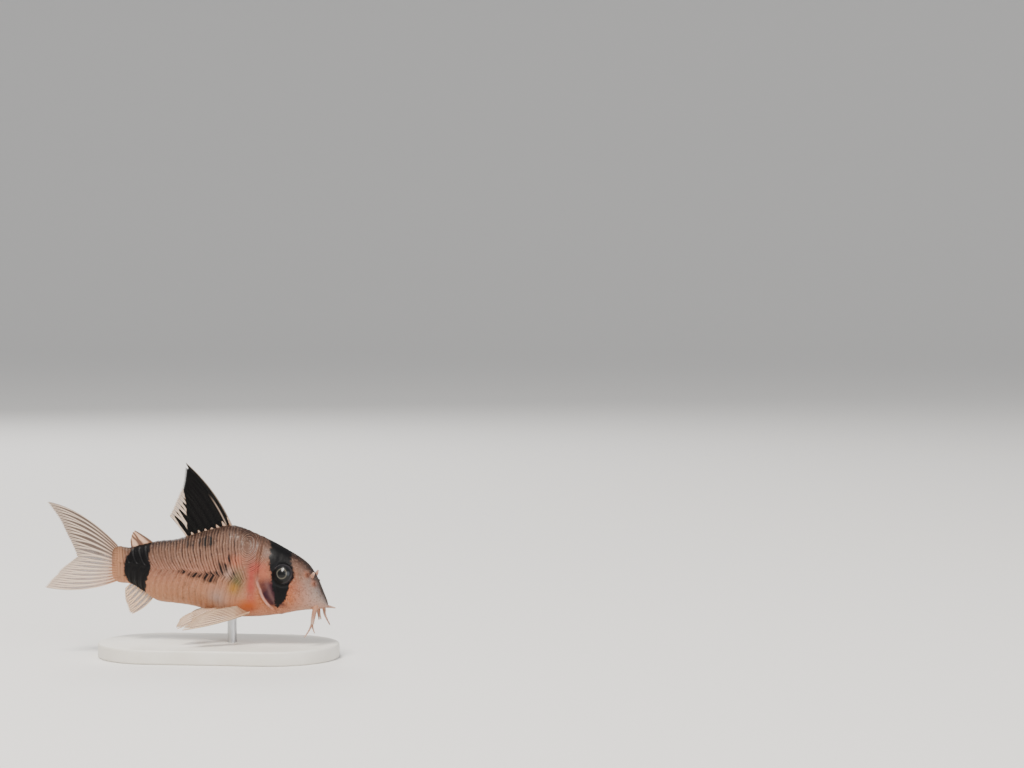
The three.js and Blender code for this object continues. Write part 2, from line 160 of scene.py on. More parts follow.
# Wet fish skin over bony scutes: a thin gloss over a soft ground, dark hairlines along the scutes' edges and
# pale painted highlights along their ridges
fishSkin = {
    # tones from the belly up to the back
    "flank": [(0.0, "#B07F62"), (0.12, "#A57355"), (0.32, "#98684E"), (0.5, "#855A48"), (0.72, "#684C3F"),
              (0.88, "#543C30"), (0.97, "#1E1614")],
    "head": [(0.0, "#AC765C"), (0.25, "#9E5D3D"), (0.5, "#8C533C"), (0.78, "#6E4B3A"), (0.9, "#573F34"),
             (1.0, "#161111")],
    "snout": [(0.0, "#AB8676"), (0.35, "#9E7D6E"), (0.7, "#877469"), (0.85, "#756864"), (0.95, "#564944"),
              (1.0, "#2C2422")],
    # ridges is the pale colour of the painted highlights along the scutes' ridges and the nape's rings
    "freckles": "#4A2A1C", "frost": "#C0A08C", "ridges": "#A67F69", "hairlines": "#2A1811",
    "smudges": "#0E0B0B", "ink": "#060506",
    # strengths from one scute's rear edge to the next one's
    "hairlineStops": [(0.0, 1.0), (0.09, 0.3), (0.17, 0.0), (0.41, 0.0), (0.48, 0.8), (0.56, 0.1),
                      (0.86, 0.05), (0.94, 1.0)],
    # where along each scute the painted ridge highlights show
    "ridgeHighlightStops": [(0.1, 0.0), (0.28, 0.7), (0.38, 0.1), (0.62, 0.1), (0.75, 1.0), (0.87, 0.1)],
    "smudgeStops": [(0.0, 1.0), (0.2, 0.95), (0.3, 0.45), (0.45, 0.8), (0.6, 0.4), (0.8, 0.5), (0.9, 1.0)],
    # the field that counts the lines, the one that says where they show, how far they waver, over how many mm
    "lines": [("phase", "scuted", 0.5, 0.9), ("arcs", "plated", 1.8, 1.7)],
    # masks: the two values of a field between which each fades in and, for some, its strengths at both
    "headEnds": (0.36, 0.3), "snoutEnds": (0.17, 0.08), "freckled": (0.5, 0.7),
    "frecklesBack": (0.42, 0.3, 0.2, 0.55), "frosted": (0.54, 0.74, 0.0, 0.2),
    "patchiness": (0.25, 0.6, 0.45, 1.0), "highlightFaintness": (0.35, 0.65, 0.1, 0.45),
    "gappiness": (0.34, 0.58, 0.25, 1.0), "smudged": (0.05, 0.48), "inked": (-0.14, 0.16),
    # how far noise moves the edges of the tones, the smudges and the ink
    "toneFray": 0.12, "smudgeFray": 0.8, "inkFray": 1.1,
    # grains in millimetres
    "mottle": 1.5, "speckle": 0.15, "frosting": 0.18, "gaps": 0.6, "smear": 0.5, "fringe": 0.3, "pores": 0.14,
    "sheen": 0.4, "poreDepth": 0.045,
    "roughness": (0.3, 0.7, 0.36, 0.54),
}


def wetFishSkin():
    look = fishSkin
    material, tree, shader = newMaterial("wetFishSkin")
    parts = addNode(tree, "SeparateXYZ", [addNode(tree, "UVMap", uv_map="skin")]).node.outputs
    along, height = parts[0], parts[1]
    mottle = grain(tree, look["mottle"])
    wavy = frayed(tree, height, mottle, look["toneFray"])
    tones = [addNode(tree, "ValToRGB", [wavy], look[part]) for part in ("flank", "head", "snout")]
    speckle = addNode(tree, "MapRange", [grain(tree, look["speckle"]), *look["freckled"]])
    frost = grain(tree, look["frosting"], 4.0)
    colour = layered(tree, tones[0], [
        ([addNode(tree, "MapRange", [along, *look["headEnds"]])], tones[1]),
        ([addNode(tree, "MapRange", [along, *look["snoutEnds"]])], tones[2]),
        ([speckle, addNode(tree, "MapRange", [along, *look["frecklesBack"]])], look["freckles"]),
        ([addNode(tree, "MapRange", [frost, *look["frosted"]])], look["frost"])])
    patchy = addNode(tree, "MapRange", [mottle, *look["patchiness"]])
    for i, (tint, _) in enumerate(tints.values()):
        if i % 3 == 0:  # each colour layer holds the weights of three tints
            layer = addNode(tree, "Attribute", attribute_name="tints%d" % (i // 3))
            weights = addNode(tree, "SeparateColor", [layer]).node.outputs
        colour = layered(tree, colour, [([weights[i % 3], patchy], tint)])

    # Hairlines, and pale painted highlights on the ridges: along the scutes by their phase, and in rings on
    # the plate behind the head
    faint = addNode(tree, "MapRange", [mottle, *look["highlightFaintness"]])
    broken = addNode(tree, "MapRange", [grain(tree, look["gaps"]), *look["gappiness"]])
    for counted, shown, waver, sizeMm in look["lines"]:
        place = addNode(tree, "Attribute", out="Fac", attribute_name=counted)
        place = addNode(tree, "Math", [grain(tree, sizeMm, 2.0), waver, place], operation="MULTIPLY_ADD")
        place = addNode(tree, "Math", [place], operation="FRACT")
        extent = addNode(tree, "Attribute", out="Fac", attribute_name=shown)
        ridgeHighlight = addNode(tree, "ValToRGB", [place], look["ridgeHighlightStops"])
        dark = addNode(tree, "ValToRGB", [place], look["hairlineStops"])
        # the ridges get pale painted highlights, the scutes' edges dark hairlines
        colour = layered(tree, colour, [
            ([ridgeHighlight, extent, faint], look["ridges"]),
            ([dark, extent, broken], look["hairlines"])])
        if counted == "phase":  # the smudges thicken the scutes' hairlines and darken the skin between them
            smudge = addNode(tree, "Attribute", out="Fac", attribute_name="smudge")
            smudge = frayed(tree, smudge, grain(tree, look["smear"], 4.0), look["smudgeFray"])
            smudge = addNode(tree, "MapRange", [smudge, *look["smudged"]])
            strokes = addNode(tree, "ValToRGB", [place], look["smudgeStops"])
            colour = layered(tree, colour, [([smudge, strokes], look["smudges"])])

    ink = addNode(tree, "Attribute", out="Fac", attribute_name="ink")
    ink = frayed(tree, ink, grain(tree, look["fringe"], 5.0), look["inkFray"])
    ink = addNode(tree, "MapRange", [ink, *look["inked"]])
    pores = grain(tree, look["pores"], 5.0)
    setInputs(shader, {
        "Base Color": layered(tree, colour, [([ink], look["ink"])]),
        "Roughness": addNode(tree, "MapRange", [grain(tree, look["sheen"]), *look["roughness"]]),
        "Specular IOR Level": 0.13, "Coat Weight": 0.035, "Coat Roughness": 0.14,
        "Subsurface Weight": 0.06, "Subsurface Radius": (0.0008, 0.0003, 0.0002), "Subsurface Scale": 1.0,
        "Normal": addNode(tree, "Bump", {"Height": pores, "Distance": look["poreDepth"] * mm})})
    return material


# Fin membrane: clear smoky skin stretched over bony rays, which are cream and jointed
finFinishes = {
    "warmFinSkin": {"web": "#65402A", "ray": "#D6B492", "clearness": 0.5},
    "tailFinSkin": {"web": "#7A5740", "ray": "#D6BFAA", "clearness": 0.48, "smoke": "#4E3B30", "flesh": 0.36},
    "blackFinSkin": {"web": "#7C685A", "ray": "#C3AC98", "clearness": 0.4, "ink": "#050404"},
    "amberFinSkin": {"web": "#CFA688", "ray": "#5E3E2C", "clearness": 0.85},
}
finDetail = {
    "joints": 34.0, "jointTone": "#6E5546", "fleshTone": "#A0683F", "stripeTone": "#A08C7C",
    # masks, as for the skin; the flesh's has only its last three values, as each fin has its own first one
    "jointGap": (0.86, 0.95, 0.0, 0.45), "jointsFrom": (0.25, 0.45), "boneEdge": (0.15, 0.75),
    "fleshEdge": (0.02, 0.0, 0.9), "fleshOnRays": (0.1, 0.9, 1.0, 0.6), "duskyLobe": (0.7, 0.35),
    "duskyWeb": (0.3, 0.98, 0.95, 0.15), "inked": (0.36, 0.6),
    # how fully flesh, smoke and ink hide the clear web, and how much the rays do
    "fleshHides": 1.0, "smokeHides": 0.88, "inkHides": 0.97, "rayHides": 0.5,
    # grains in millimetres
    "mottle": 0.8, "fringe": 0.35, "tooth": 0.12, "toothDepth": 0.02,
}


def finSkin(name, web, ray, clearness, ink=None, smoke=None, flesh=0.2):
    look = finDetail
    material, tree, shader = newMaterial(name)
    parts = addNode(tree, "SeparateXYZ", [addNode(tree, "UVMap", uv_map="fin")]).node.outputs
    across, outward = parts[0], parts[1]
    rays = addNode(tree, "Attribute", out="Fac", attribute_name="ray")
    mottle = grain(tree, look["mottle"])
    joint = addNode(tree, "Math", [outward, look["joints"]], operation="MULTIPLY")
    joint = addNode(tree, "Math", [joint], operation="FRACT")
    joint = addNode(tree, "MapRange", [joint, *look["jointGap"]])
    jointed = addNode(tree, "MapRange", [outward, *look["jointsFrom"]])
    bone = layered(tree, ray, [([joint, jointed], look["jointTone"])])
    near = addNode(tree, "Math", [mottle, -0.12, outward], operation="MULTIPLY_ADD")
    near = addNode(tree, "MapRange", [near, flesh, *look["fleshEdge"]])  # the body's skin on the ray roots
    colour = layered(tree, web, [
        ([addNode(tree, "MapRange", [rays, *look["boneEdge"]])], bone),
        ([near, addNode(tree, "MapRange", [rays, *look["fleshOnRays"]])], look["fleshTone"])])
    solid = addNode(tree, "Math", [mottle, 0.12, clearness - 0.06], operation="MULTIPLY_ADD")
    solid = addNode(tree, "Math", [rays, look["rayHides"], solid], operation="MULTIPLY_ADD")
    covers = [(near, look["fleshHides"])]
    if smoke:  # the upper lobe is dusky between its rays
        dusky = addNode(tree, "MapRange", [frayed(tree, across, mottle, 0.25), *look["duskyLobe"]])
        betweenRays = addNode(tree, "MapRange", [rays, *look["duskyWeb"]])
        dusky = addNode(tree, "Math", [dusky, betweenRays], operation="MULTIPLY")
        colour = layered(tree, colour, [([dusky], smoke)])
        covers.append((dusky, look["smokeHides"]))
    if ink:
        inked = addNode(tree, "Attribute", out="Fac", attribute_name="ink")
        inked = frayed(tree, inked, grain(tree, look["fringe"], 4.0), 0.7)
        inked = addNode(tree, "MapRange", [inked, *look["inked"]])
        stripe = addNode(tree, "Attribute", out="Fac", attribute_name="stripe")
        colour = layered(tree, colour, [([inked], ink), ([stripe], look["stripeTone"])])
        covers.append((inked, look["inkHides"]))
    for cover, share in covers:
        cover = addNode(tree, "Math", [cover, share], operation="MULTIPLY")
        solid = addNode(tree, "Math", [solid, cover], operation="MAXIMUM")
    setInputs(shader, {
        "Base Color": colour, "Alpha": addNode(tree, "Math", [solid, 1.0], operation="MINIMUM"),
        "Roughness": 0.4, "Specular IOR Level": 0.1 if ink else 0.5,
        "Coat Weight": 0.03 if ink else 0.06, "Coat Roughness": 0.15,
        "Normal": addNode(tree, "Bump", {
            "Height": grain(tree, look["tooth"], 4.0), "Distance": look["toothDepth"] * mm})})
    return material


# Barbel skin: soft, pinkish and finely pitted with taste buds, paler towards its tip
barbelTones = [(0.1, "#A5714F"), (0.6, "#936A55"), (1.0, "#AE8F7E")]


def barbelSkin():
    material, tree, shader = newMaterial("barbelSkin")
    along = addNode(tree, "Attribute", out="Fac", attribute_name="along")
    along = addNode(tree, "Math", [grain(tree, 0.4), 0.3, along], operation="MULTIPLY_ADD")
    setInputs(shader, {
        "Base Color": addNode(tree, "ValToRGB", [along], barbelTones), "Roughness": 0.42,
        "IOR": 1.4, "Coat Weight": 0.15,
        "Subsurface Weight": 0.2, "Subsurface Radius": (0.0006, 0.0003, 0.0002), "Subsurface Scale": 1.0,
        "Normal": addNode(tree, "Bump", {"Height": grain(tree, 0.14), "Distance": 0.03 * mm})})
    return material


# Eye: black pupil, a thin broken ring of silvery gold, dark iris, all under a clear wet cornea
iris = {
    "reach": 2.0,  # the millimetres from the middle of the eye that the tones span
    "tones": [(0.0, "#020202"), (0.33, "#030303"), (0.375, "#3A3730"), (0.43, "#524D41"), (0.475, "#141211"),
              (0.52, "#040404"), (0.72, "#070607"), (0.8, "#262226"), (0.87, "#1D1A1C"), (0.93, "#060506")],
}


def eyeSurface():
    material, tree, shader = newMaterial("wetEye")
    reach = addNode(tree, "Attribute", out="Fac", attribute_name="reach")
    reach = frayed(tree, reach, grain(tree, 0.3, 4.0), 0.16)
    reach = addNode(tree, "Math", [reach, iris["reach"]], operation="DIVIDE")
    setInputs(shader, {
        "Base Color": addNode(tree, "ValToRGB", [reach], iris["tones"]), "Roughness": 0.35,
        "Specular IOR Level": 0.15, "Coat Weight": 0.35, "Coat Roughness": 0.04})
    return material


# Satin stainless steel, drawn lengthways into fine upright streaks
def drawnSteel():
    material, tree, shader = newMaterial("drawnSteel")
    place = addNode(tree, "TexCoord", out="Object")
    stretched = addNode(tree, "Mapping", {"Vector": place, "Scale": (1.0, 1.0, 0.04)})
    streaks = addNode(tree, "TexNoise", {"Vector": stretched, "Scale": 0.5 / (0.0556 * mm), "Detail": 3.0})
    setInputs(shader, {
        "Base Color": addNode(tree, "ValToRGB", [streaks], [(0.3, "#B3B5B8"), (0.7, "#CBCCCE")]),
        "Roughness": addNode(tree, "MapRange", [streaks, 0.3, 0.7, 0.24, 0.4]), "Metallic": 1.0,
        "Normal": addNode(tree, "Bump", {"Height": streaks, "Distance": 0.01 * mm})})
    return material


# Moulded acrylic plinth, sand-blasted to a fine satin tooth
def blastedAcrylic():
    material, tree, shader = newMaterial("blastedAcrylic")
    setInputs(shader, {
        "Base Color": addNode(tree, "ValToRGB", [grain(tree, 3.0)], [(0.3, "#D6D0C4"), (0.7, "#DED9CF")]),
        "Roughness": addNode(tree, "MapRange", [grain(tree, 0.6), 0.3, 0.7, 0.42, 0.56]), "IOR": 1.49,
        "Normal": addNode(tree, "Bump", {"Height": grain(tree, 0.2, 2.0), "Distance": 0.015 * mm})})
    return material


# Body: one skin from snout to tail, with the scutes, the gill cover and the mouth raised in it
bodyShape = {
    # place behind the snout, back x and z, belly x and z, half width, how high up it is widest, and how
    # square its upper and lower halves are, 2 being an ellipse
    "girths": [
        (0.0, 24.0, 6.75, 24.0, 6.7, 0.05, 0.5, 2.0, 2.0),
        (0.5, 23.8, 7.45, 23.5, 6.4, 1.1, 0.45, 2.0, 2.2),
        (1.3, 23.4, 8.45, 22.6, 6.2, 1.8, 0.42, 2.0, 2.4),
        (2.4, 22.9, 9.65, 21.5, 6.1, 2.45, 0.4, 2.0, 2.6),
        (3.8, 22.1, 11.5, 20.2, 6.0, 3.0, 0.38, 2.0, 2.7),
        (5.5, 20.4, 13.95, 18.5, 5.75, 3.55, 0.37, 1.95, 2.8),
        (8.4, 17.0, 16.15, 15.7, 5.2, 4.15, 0.37, 1.85, 2.8),
        (12.5, 12.3, 18.5, 11.5, 4.7, 4.7, 0.38, 1.75, 2.7),
        (17.0, 7.3, 20.3, 7.3, 4.7, 4.75, 0.4, 1.7, 2.6),
        (20.9, 3.4, 19.6, 3.4, 5.55, 4.3, 0.42, 1.75, 2.4),
        (24.9, -0.6, 18.45, -0.6, 6.4, 3.6, 0.46, 1.8, 2.2),
        (27.5, -3.2, 17.75, -3.2, 6.7, 3.05, 0.48, 1.85, 2.15),
        (30.5, -6.2, 17.45, -6.2, 7.1, 2.45, 0.5, 1.9, 2.1),
        (33.1, -8.9, 16.8, -8.7, 8.7, 1.9, 0.5, 2.0, 2.0),
        (35.2, -11.2, 16.3, -10.8, 9.9, 1.45, 0.5, 2.0, 2.0),
        (37.2, -13.0, 16.5, -12.9, 10.15, 0.9, 0.5, 2.1, 2.1),
        (38.15, -13.9, 16.2, -13.9, 10.6, 0.3, 0.5, 2.2, 2.2),
    ],
    "length": 38.15, "capLength": 0.35, "capHeight": 13.5,
    "around": 192, "headRows": 132, "rowsPerScute": 13, "endRows": 8, "capRows": 6,
}
scutes = {"count": 21, "first": 15.6, "pitch": 1.05, "step": 0.16, "edge": 0.08, "hollow": 1.3,
          "ridge": 0.035, "ridgeAt": 0.44, "ridgeWidth": 0.1,
          "chevron": 1.7, "chevronFrom": 9.0, "chevronFade": (31.0, 38.0),
          "midline": 0.16, "midlineFade": (0.0, 0.1), "backFade": (0.75, 0.97), "backShare": 0.35,
          "bellyFade": (0.82, 0.96), "tailFade": (37.3, 37.9)}
# Heights come with the place past the gill cover's edge and the width, or with where they fade in and out
gill = {"middle": 12.15, "turn": 0.2, "throat": 3.5, "sides": (0.3, 0.7),
        "cover": 0.22, "coverIn": (-2.8, -0.3), "coverOut": (-0.12, 0.0),
        "groove": 0.22, "grooveAt": 0.12, "grooveWidth": 0.16, "grooveAbove": 0.35,
        "shoulder": 0.15, "shoulderIn": (0.1, 0.55), "shoulderOut": (1.6, 3.2),
        "seam": 0.05, "seamAt": -2.9, "seamWidth": 0.22}
nape = {"centre": (10.3, 17.2), "stretch": (1.15, 0.85), "radius": 2.1,
        "spacing": 0.55, "height": 0.04, "ringsAt": 1.6, "ringsWidth": 1.1, "crown": 0.05}
tailRoot = {"from": 36.9, "to": 37.8, "spacing": 0.42, "height": 0.035}  # faint ridges over the ray roots
eyes = {"at": 8.35, "angle": 1.08, "radius": 1.75, "depth": 1.1, "cornea": 0.12, "corneaWidth": 0.45,
        "sunk": 0.45, "tilt": 0.22, "rim": 0.15, "rimAt": 1.85, "rimWidth": 0.3,
        "socket": 0.5, "socketOut": (1.1, 1.7), "brow": 0.12, "browOut": (4, 2)}
nostrils = {"pits": [(3.85, 0.72), (5.05, 0.72)],  # places along and round the head
            "radius": 0.36, "rim": 0.08, "rimAt": 0.12, "rimWidth": 0.14, "depth": 0.5, "steepness": 0.75}
mouth = {
    "upperLip": [(21.5, 1.75, 6.5), (22.5, 1.3, 6.2), (23.15, 0.65, 6.2), (23.4, 0.0, 6.25)],
    "slit": [(21.5, 1.55, 6.35), (22.25, 1.1, 6.15), (22.75, 0.55, 6.1), (22.95, 0.0, 6.15)],
    "lowerLip": [(21.3, 1.3, 6.1), (21.95, 0.9, 6.1), (22.35, 0.45, 6.1), (22.5, 0.0, 6.1)],
    "upperSwell": 0.42, "upperWidth": 0.36, "lowerSwell": 0.4, "lowerWidth": 0.3,
    "slitDepth": 0.42, "slitWidth": 0.15,
}


def skinPoint(at, angle):
    backX, backZ, bellyX, bellyZ, half, widest, upper, lower = spline(bodyShape["girths"], at)
    up, out = math.cos(angle), math.sin(angle)
    square = upper if up >= 0 else lower
    tall = backZ - bellyZ
    reach = (1 - widest if up >= 0 else widest) * tall
    z = bellyZ + widest * tall + math.copysign(reach * abs(up) ** (2 / square), up)
    y = math.copysign(max(half, 0) * abs(out) ** (2 / square), out)
    share = min(max((z - bellyZ) / max(tall, 0.1), 0.0), 1.0)
    return Vector((bellyX + (backX - bellyX) * share, y, z)), share


def chevronShift(angle):  # how far the scutes' edges point forward, most at the middle of the flank
    return scutes["chevron"] * max(1 - abs(math.cos(angle) - scutes["midline"]), 0.0) ** 2.8


def gillPlace(angle):
    return gill["middle"] - gill["throat"] * max(0, gill["turn"] - math.cos(angle)) ** 1.11


def toPoints(point, centres):  # distance to the nearest of some points, which are mirrored on both sides
    near = Vector((point.x, abs(point.y), point.z))
    return min((near - centre).length for centre in centres)


def toCurve(point, stops):  # distance to a line of points, mirrored likewise
    near = Vector((point.x, abs(point.y), point.z))
    best = 99.0
    for a, b in zip(stops, stops[1:]):
        a, b = Vector(a), Vector(b)
        t = min(max((near - a).dot(b - a) / (b - a).length_squared, 0.0), 1.0)
        best = min(best, (near - a - (b - a) * t).length)
    return best


def toNape(point):  # distance from the middle of the ringed plate behind the head, which is a little oval
    (x, z), (alongX, alongZ) = nape["centre"], nape["stretch"]
    return math.hypot((point.x - x) * alongX, (point.z - z) * alongZ)


eyeCentre = skinPoint(eyes["at"], eyes["angle"])[0]
nostrilCentres = [skinPoint(*pit)[0] for pit in nostrils["pits"]]


def scuteRelief(row, angle):  # height in millimetres, phase along the row of scutes, how plainly they show
    up = math.cos(angle)
    covered = smoothStep(row, scutes["first"] - 0.9, scutes["first"] + 0.4)
    covered *= (1 - smoothStep(row, *scutes["tailFade"])) * (1 - smoothStep(-up, *scutes["bellyFade"]))
    phase = (row - scutes["first"]) / scutes["pitch"] + (0.5 if up < scutes["midline"] else 0.0)
    part = phase - math.floor(phase)
    height = part / (1 - scutes["edge"]) if part < 1 - scutes["edge"] else (1 - part) / scutes["edge"]
    lift = scutes["step"] * height ** scutes["hollow"]
    lift += scutes["ridge"] * swell(part - scutes["ridgeAt"], scutes["ridgeWidth"])
    lift *= smoothStep(abs(up - scutes["midline"]), *scutes["midlineFade"])
    lift *= between(1, scutes["backShare"], smoothStep(up, *scutes["backFade"]))
    return lift * covered, phase, covered


def headRelief(at, angle, point):
    side = smoothStep(abs(math.sin(angle)), *gill["sides"])
    past = at - gillPlace(angle)
    lift = 0.0
    if -4 < past < 4:
        cover = smoothStep(past, *gill["coverIn"]) * (1 - smoothStep(past, *gill["coverOut"]))
        shoulder = smoothStep(past, *gill["shoulderIn"]) * (1 - smoothStep(past, *gill["shoulderOut"]))
        groove = swell(past - gill["grooveAt"], gill["grooveWidth"])
        lift += side * (gill["cover"] * cover + gill["shoulder"] * shoulder)
        lift += side * gill["seam"] * swell(past - gill["seamAt"], gill["seamWidth"])
        lift -= gill["groove"] * groove * between(gill["grooveAbove"], 1, side)
    away = toNape(point)
    if away < 2 * nape["radius"]:
        rings = math.cos(2 * math.pi * away / nape["spacing"])
        lift += nape["height"] * rings * swell(away - nape["ringsAt"], nape["ringsWidth"])
        lift += nape["crown"] * swell(away, nape["radius"])
    away = toPoints(point, [eyeCentre])
    if away < 4:
        lift += eyes["rim"] * swell(away - eyes["rimAt"], eyes["rimWidth"])
        lift -= eyes["socket"] * (1 - smoothStep(away, *eyes["socketOut"]))
        lift += eyes["brow"] * smoothStep(away, *eyes["browOut"])
    if at < 6.5:
        away = toPoints(point, nostrilCentres)
        lift += nostrils["rim"] * swell(away - nostrils["radius"] - nostrils["rimAt"], nostrils["rimWidth"])
        lift -= nostrils["depth"] * swell(away, nostrils["radius"] * nostrils["steepness"])
    if at < 5:
        lift += mouth["upperSwell"] * swell(toCurve(point, mouth["upperLip"]), mouth["upperWidth"])
        lift += mouth["lowerSwell"] * swell(toCurve(point, mouth["lowerLip"]), mouth["lowerWidth"])
        lift -= mouth["slitDepth"] * swell(toCurve(point, mouth["slit"]), mouth["slitWidth"])
    return lift


def tailRelief(at, angle, height):
    onFlank = 1 - smoothStep(abs(math.cos(angle)), 0.8, 1.0)
    ridges = tailRoot["height"] * math.cos(2 * math.pi * height / tailRoot["spacing"])
    return ridges * onFlank * smoothStep(at, tailRoot["from"], tailRoot["to"])


# Markings in side view, in millimetres
markings = {
    # z, middle x and half width of the band that runs from the crown through the eye to the cheek
    "mask": [(5.6, 15.6, -1.0), (6.5, 15.7, 0.0), (7.2, 15.85, 0.55), (8.8, 16.4, 1.1), (10.5, 16.4, 1.45),
             (11.4, 16.55, 1.75), (12.4, 16.65, 1.95), (14.4, 16.05, 1.85), (16.4, 15.95, 1.75),
             (18.5, 15.6, 2.0)],
    # z, rear x and front x of the blotch before the tail fin
    "blotch": [(8.0, -9.0, -8.4), (9.3, -9.8, -8.0), (10.5, -11.3, -7.8), (12.0, -11.9, -7.1),
               (12.9, -11.9, -6.8), (14.5, -11.5, -7.3), (16.0, -10.5, -7.2), (17.0, -9.4, -7.1),
               (18.0, -8.4, -7.0)],
    # x, z, reach along and up, strength: smoky patches that gather along the edges of the scutes
    "smudges": [(3.1, 17.7, 1.25, 0.75, 1.15), (4.0, 11.7, 1.3, 0.8, 1.1), (1.3, 12.0, 1.2, 0.5, 0.8),
                (7.4, 15.0, 0.35, 0.7, 0.85), (6.3, 13.3, 1.2, 1.1, 0.6), (5.2, 12.3, 1.0, 0.6, 0.7),
                (-0.9, 12.5, 1.0, 0.4, 0.5), (0.0, 17.2, 1.0, 0.6, 0.5), (8.3, 12.2, 0.8, 0.8, 0.45)],
}
# Soft tints: colour, then x, z, reach along, reach up and lean of each patch. Those without a patch follow
# the gill cover's edge or the nostrils
tints = {
    "rosyGill": ("#8E3630", [(11.3, 10.0, 0.85, 4.2, 0.05), (12.2, 13.4, 1.2, 0.9, 0.0)]),
    "olive": ("#42482A", [(8.8, 11.2, 1.3, 2.0, 0.0)]),
    "mustard": ("#96681F", [(8.2, 9.8, 0.9, 0.9, 0.0)]),
    "rust": ("#9C4A20", [(10.4, 6.9, 2.2, 1.1, 0.0)]),
    "greyFold": ("#94776A", [(5.3, 8.3, 1.6, 1.5, 0.0), (7.2, 12.6, 1.1, 1.0, 0.0)]),
    "sandyTail": ("#996D50", [(-12.9, 13.4, 1.1, 4.2, 0.0)]),
    "rosyShoulder": ("#94543F", [(8.6, 14.6, 1.6, 1.0, 0.0), (13.4, 12.6, 0.9, 1.6, 0.0)]),
    "opercle": ("#2E121C", []),
    "opercleRim": ("#B98F84", []),
    "nostrilRim": ("#96583C", []),
    "chin": ("#B78E78", [(21.5, 5.6, 2.2, 1.1, 0.0)]),
    # nostril: painted shade, darkening the middle of each nostril pit
    "nostril": ("#2A1510", []),
}


def inkAt(point):  # how deep inside the mask or the blotch, in millimetres
    middle, half = spline(markings["mask"], point.z)
    rear, front = spline(markings["blotch"], point.z)
    depth = max(half - abs(point.x - middle), min(point.x - rear, front - point.x))
    return max(depth, -2.0)


def patch(point, x, z, long, high, lean=0.0):
    away = math.hypot((point.x - x - lean * (point.z - z)) / long, (point.z - z) / high)
    return swell(away, 1.0)


def smudgeAt(point):
    return max(strength * patch(point, *place) for *place, strength in markings["smudges"])


def tintWeights(point, at, angle):
    weights = {}
    for name, (_, spots) in tints.items():
        weights[name] = min(sum(patch(point, *spot) for spot in spots), 1.0)
    away = toPoints(point, nostrilCentres)
    # painted shade deep in the nostril pits
    weights["nostril"] = 0.9 * swell(away, 0.26)
    weights["nostrilRim"] = 0.7 * swell(away, 0.6)
    past = at - gillPlace(angle)
    level = smoothStep(point.z, 6.2, 7.4) * (1 - smoothStep(point.z, 10.6, 12.4))
    level *= abs(math.sin(angle)) > 0.5
    weights["opercle"] = level * smoothStep(past, -3.4, -2.5) * (1 - smoothStep(past, -0.35, -0.15))
    weights["opercleRim"] = 0.7 * level * (swell(past + 0.1, 0.17) + 0.2 * swell(past + 1.6, 0.4))
    return list(weights.values())


def plateWeight(point, row):  # how plainly the rings behind the head show
    away = toNape(point)
    ahead = smoothStep(point.x, nape["centre"][0], nape["centre"][0] + 1.5)
    weight = 1 - smoothStep(away, between(2.4, 3.8, ahead), between(3.4, 4.8, ahead))
    weight *= 1 - smoothStep(row, 15.0, 15.8)
    return 0.85 * weight * smoothStep(point.z, 11.5, 13.0) * smoothStep(away, 0.5, 1.2)


